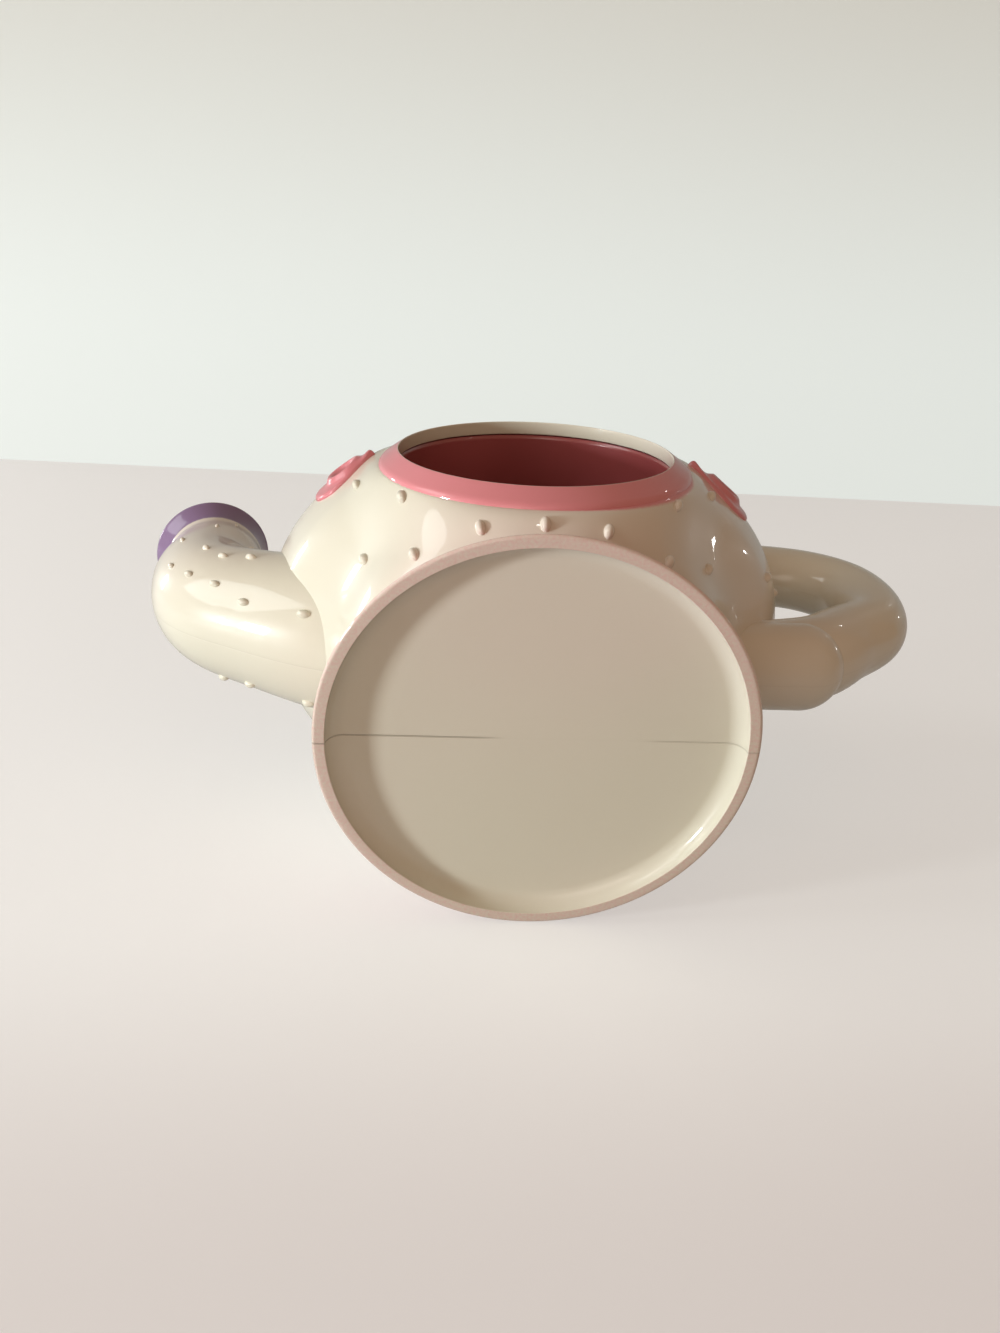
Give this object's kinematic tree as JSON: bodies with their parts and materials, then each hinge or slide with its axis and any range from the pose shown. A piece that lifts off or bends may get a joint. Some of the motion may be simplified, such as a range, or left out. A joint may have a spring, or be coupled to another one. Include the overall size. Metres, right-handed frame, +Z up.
{
  "type": "toy teapot",
  "caption": "Pretend-play teapot with a round window and inner chamber in its belly, curved spout, loop handle, flared foot and lift-off lid.",
  "frame": {"origin": "centre of the foot's resting plane", "axes": "+Z up from the foot to the lid, +X towards the handle with the spout at -X, -Y towards the round window"},
  "size_m": [0.2071, 0.0999, 0.1288],
  "materials": {
    "shell": "glossy pearl cream moulding",
    "chamber": "glossy deep pink moulding",
    "trim": "satin pink moulding",
    "screws": "zinc-plated pan-head screws"
  },
  "bodies": {
    "pot": {"front_shell": "shell", "back_shell": "shell", "chamber": "chamber", "left_bow": "trim", "right_bow": "trim", "shell_screws": "screws"},
    "lid": {"lid": "shell", "lid_knob": "trim", "knob_screw": "screws"}
  },
  "joints": [
    {"name": "lid_lift", "type": "slide", "parent": "pot", "child": "lid", "axis": [0, 0, 1], "range_m": [0, 0.04]}
  ]
}
